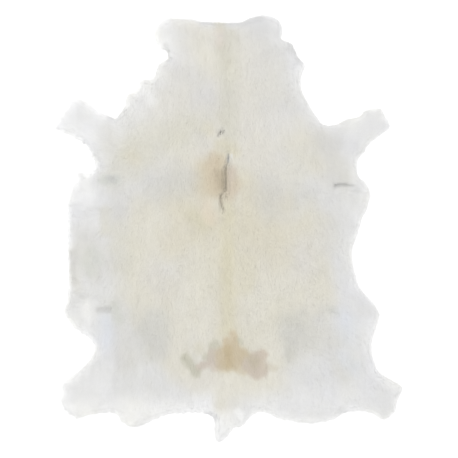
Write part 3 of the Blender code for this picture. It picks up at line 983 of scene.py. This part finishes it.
def coat_hairs(maps, rng):
    """The hairs of the coat: from each root to its tip on the flat, and its share of the height."""
    x, y = scattered(rng, HAIR_STEP)
    depth = maps.read(maps.depth, x, y)
    rooted = depth > HAIR_INSET
    x, y, depth = x[rooted], y[rooted], depth[rooted]
    count = len(x)
    across, along = lie_of_hair(x, y)
    out_x, out_y = maps.outwards(x, y)
    spread = rim_spread(x, y) * np.exp(-depth / RIM_SPREAD_REACH)
    across, along = unit(across + spread * out_x, along + spread * out_y)
    _, slit_gap = beside_slit(x, y)
    stray = HAIR_STRAY + SLIT_STRAY * np.exp(-((slit_gap / SLIT_STRAY_REACH) ** 2))
    across, along = turned(across, along, rng.normal(0.0, 1.0, count) * stray)
    length = HAIR_RIM + (HAIR_BACK - HAIR_RIM) * ease(depth / HAIR_BACK_DEPTH)
    by_slit = SLIT_LENGTH + (1.0 - SLIT_LENGTH) * ease(slit_gap / SLIT_LENGTH_REACH)
    length *= rng.uniform(*HAIR_SPAN, count) * by_slit
    pull = clump_pull(x, y, rng.uniform(0.1, 0.9, (CLUMP_COUNT, CLUMP_COUNT, 2)))
    root = np.column_stack([x, y])
    run = np.column_stack([across, along]) * length[:, None] + pull
    run *= kept_length(root, run, rng)[:, None]
    uneven = np.minimum(UNEVEN / np.maximum(maps.read(maps.thick, x, y), LEAST), UNEVEN_MOST)
    share = np.column_stack([
        np.full(count, ROOT_SHARE),
        BEND_SHARE - uneven * rng.uniform(0.0, 1.0, count),
        TIP_SHARE - uneven * rng.uniform(0.0, UNEVEN_TIP, count),
    ])
    return root, run, share


def kept_length(root, run, rng):
    """The share that is left of each hair where a furrow across it stops it."""
    kept = np.ones(len(root))
    for _, points, _, depth in FURROWS:
        stops = rng.uniform(0.0, 1.0, len(root)) < depth
        for start, end in zip(points, points[1:]):
            edge = (np.array(end) - start) * MM
            gap = np.array(start) * MM - root
            turn = run[:, 0] * edge[1] - run[:, 1] * edge[0]
            turn = np.where(np.abs(turn) < TINY, TINY, turn)
            along_hair = (gap[:, 0] * edge[1] - gap[:, 1] * edge[0]) / turn
            along_edge = (gap[:, 0] * run[:, 1] - gap[:, 1] * run[:, 0]) / turn
            met = stops & (np.abs(along_hair - 0.5) < 0.5) & (np.abs(along_edge - 0.5) < 0.5)
            met &= np.abs(turn) > SHALLOW * np.hypot(*run.T) * np.hypot(*edge)
            kept = np.where(met, np.minimum(kept, along_hair), kept)
    return np.where(kept < 1.0, np.maximum(kept, STUB) * rng.uniform(0.8, 1.1, len(root)), 1.0)


def fringe_hairs(maps, rng):
    """Short hairs that stand out from under the coat, all along the cut edge of the skin."""
    x, y = scattered(rng, FRINGE_STEP)
    depth = maps.read(maps.depth, x, y) - SKIN_INSET
    rooted = (depth > LEAST) & (depth < FRINGE_DEPTH * rng.uniform(0.3, 1.9, len(x)))
    x, y = x[rooted], y[rooted]
    count = len(x)
    out_x, out_y = maps.outwards(x, y)
    across, along = lie_of_hair(x, y)
    spread = rim_spread(x, y) + np.clip(-(across * out_x + along * out_y), 0.0, 1.0)
    across, along = unit(0.8 * across + spread * out_x, 0.8 * along + spread * out_y)
    across, along = turned(across, along, rng.normal(0.0, 0.3, count))
    length = (FRINGE_LENGTH + overhang(x, y)) * rng.uniform(0.6, 1.2, count)
    run = np.column_stack([across, along]) * length[:, None]
    share = np.column_stack([
        np.full(count, 0.2),
        rng.uniform(0.35, 0.75, count),
        rng.uniform(0.3, 0.9, count),
    ])
    return np.column_stack([x, y]), run, share


def shaped(maps, rng, root, run, share):
    """Every hair's four corners: its root, its two sides where it bends, and its tip."""
    count = len(root)
    tip = root + run
    length = np.hypot(*run.T)
    past = -maps.read(maps.depth, *tip.T) - overhang(*tip.T) * rng.uniform(0.1, 1.6, count)
    left = np.clip(1.0 - np.maximum(past, 0.0) / length, STUB_AT_RIM, 1.0)
    tip = root + run * left[:, None]
    bend = root + (tip - root) * HAIR_BEND

    def height(place, part):
        low = maps.read(maps.skin, *place.T) + SKIN_THICKNESS * 0.3
        top = low + maps.read(maps.thick, *place.T) * part * sunk(*place.T)
        over_fur = fur_height(maps, *place.T) + OVER_FUR * (part - LEVEL_WITH_FUR)
        return np.where(maps.read(maps.depth, *place.T) > FUR_INSET, np.maximum(top, over_fur), top)

    droop = DROOP * ease(-maps.read(maps.depth, *tip.T) / DROOP_REACH)
    tip_z = height(tip, share[:, 2])
    tip_z += (DROOP_END - tip_z) * droop
    roll = rng.uniform(-HAIR_ROLL, HAIR_ROLL, count)
    half = HAIR_WIDTH * rng.uniform(*HALF_WIDTHS, count)
    along = (tip - root) / np.maximum(np.hypot(*(tip - root).T), 1e-6)[:, None]
    side = np.column_stack([along[:, 1] * np.cos(roll), -along[:, 0] * np.cos(roll), np.sin(roll)])
    side *= half[:, None]
    middle = np.column_stack([bend, height(bend, share[:, 1])])
    corners = np.stack([
        np.column_stack([root, height(root, share[:, 0])]),
        middle - side,
        middle + side,
        np.column_stack([tip, tip_z]),
    ], axis=1)
    corners[:, :, 2] = np.maximum(corners[:, :, 2], LEAST)
    return corners


def soft_normals(maps, corners):
    """Each hair's normal, between its own and that of the coat as a whole."""
    own = np.cross(corners[:, 2] - corners[:, 1], corners[:, 3] - corners[:, 0])
    own /= np.maximum(np.linalg.norm(own, axis=1), TINY)[:, None]
    x, y = corners[:, 0, :2].T
    whole = np.column_stack([
        -maps.read(maps.rise_x, x, y), -maps.read(maps.rise_y, x, y), np.ones(len(x)),
    ])
    normal = own * np.sign(own[:, 2:3]) * (1.0 - SOFTNESS) + whole * SOFTNESS
    return normal / np.linalg.norm(normal, axis=1)[:, None]


# The coat's pieces, each half of the hide and a share of its length from the tail.
PARTS_OF_COAT = (("haunch", -1.0, 0.34), ("flank", 0.34, 0.64), ("neck", 0.64, 2.0))


def make_coat(maps):
    """The coat in six pieces, so that none is too large."""
    rng = np.random.default_rng(5)
    corners = np.concatenate([
        shaped(maps, rng, *coat_hairs(maps, rng)),
        shaped(maps, rng, *fringe_hairs(maps, rng)),
    ])
    chance = rng.uniform(0.0, 1.0, len(corners))
    material = hair_material()
    low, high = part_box("hide")
    share = (corners[:, 0, 1] - low[1]) / (high[1] - low[1])
    right = corners[:, 0, 0] > 0.0
    pieces = []
    for part, start, end in PARTS_OF_COAT:
        for side, held in (("left", ~right), ("right", right)):
            chosen = held & (share >= start) & (share < end)
            name = f"coat_{side}_{part}"
            pieces.append(coat_piece(maps, name, corners[chosen], chance[chosen], material))
    return pieces


def coat_piece(maps, name, corners, chance, material):
    """One piece of the coat from its hairs' corners."""
    count = len(corners)
    points = corners.reshape(-1, 3)
    first = np.arange(count)[:, None] * 4
    triangles = np.concatenate([first + (0, 2, 1), first + (1, 2, 3)], axis=1).reshape(-1, 3)
    piece = mesh_of(name, points, triangles, material)
    give(piece, "coat", coat_colour(maps, points[:, 0], points[:, 1]))
    strand = np.empty((count, 4, 3))
    strand[:, :, 0] = (0.0, -1.0, 1.0, 0.0)
    strand[:, :, 1] = (0.0, HAIR_BEND, HAIR_BEND, 1.0)
    strand[:, :, 2] = chance[:, None]
    give(piece, "strand", strand.reshape(-1, 3))
    lay_out(piece)
    normals = np.repeat(soft_normals(maps, corners), 4, axis=0)
    piece.data.normals_split_custom_set_from_vertices(normals.tolist())
    return piece


# ---- the stage

def make_stage():
    """A white floor, soft light from above and the left, and the camera straight above."""
    floor_mesh = bpy.data.meshes.new("floor")
    reach, level = 6.0, -0.0004
    floor_mesh.from_pydata(
        [(reach * x, reach * y, level) for x, y in ((-1, -1), (1, -1), (1, 1), (-1, 1))],
        [], [(0, 1, 2, 3)],
    )
    material, _, shader = new_material("white_floor", 0.9, 0.1, 0.0)
    shader.inputs["Base Color"].default_value = (0.93, 0.93, 0.93, 1.0)
    floor_mesh.materials.append(material)
    placed("floor", floor_mesh)

    world = bpy.data.worlds.new("studio")
    world.use_nodes = True
    sky = world.node_tree.nodes["Background"].inputs
    sky["Color"].default_value = (1.0, 1.0, 1.0, 1.0)
    sky["Strength"].default_value = 1.12
    bpy.context.scene.world = world

    add_light("key", (-2.6, 1.9, 3.0), 2.4, 62.0)
    add_light("fill", (2.8, -1.6, 3.2), 3.0, 12.0)

    lens = bpy.data.cameras.new("camera")
    lens.lens = CAMERA_LENS
    lens.sensor_width = CAMERA_SENSOR
    camera = placed("camera", lens)
    camera.location = (0.0, 0.0, VIEW_WIDTH * CAMERA_LENS / CAMERA_SENSOR)
    bpy.context.scene.camera = camera
    bpy.context.scene.view_settings.view_transform = "Standard"


def add_light(name, place, size, power):
    """A large square light that faces the hide."""
    light = bpy.data.lights.new(name, "AREA")
    light.size = size
    light.energy = power
    lamp = placed(name, light)
    lamp.location = place
    lamp.rotation_mode = "QUATERNION"
    lamp.rotation_quaternion = (-Vector(place)).to_track_quat("-Z", "Y")


def main():
    maps = Maps(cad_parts["hide"])
    skin, area = make_skin(maps)
    fur = make_fur(maps)
    coat = make_coat(maps)
    for piece in [skin, fur] + coat:
        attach(piece, "root")
        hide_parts("hide")
    make_stage()


main()
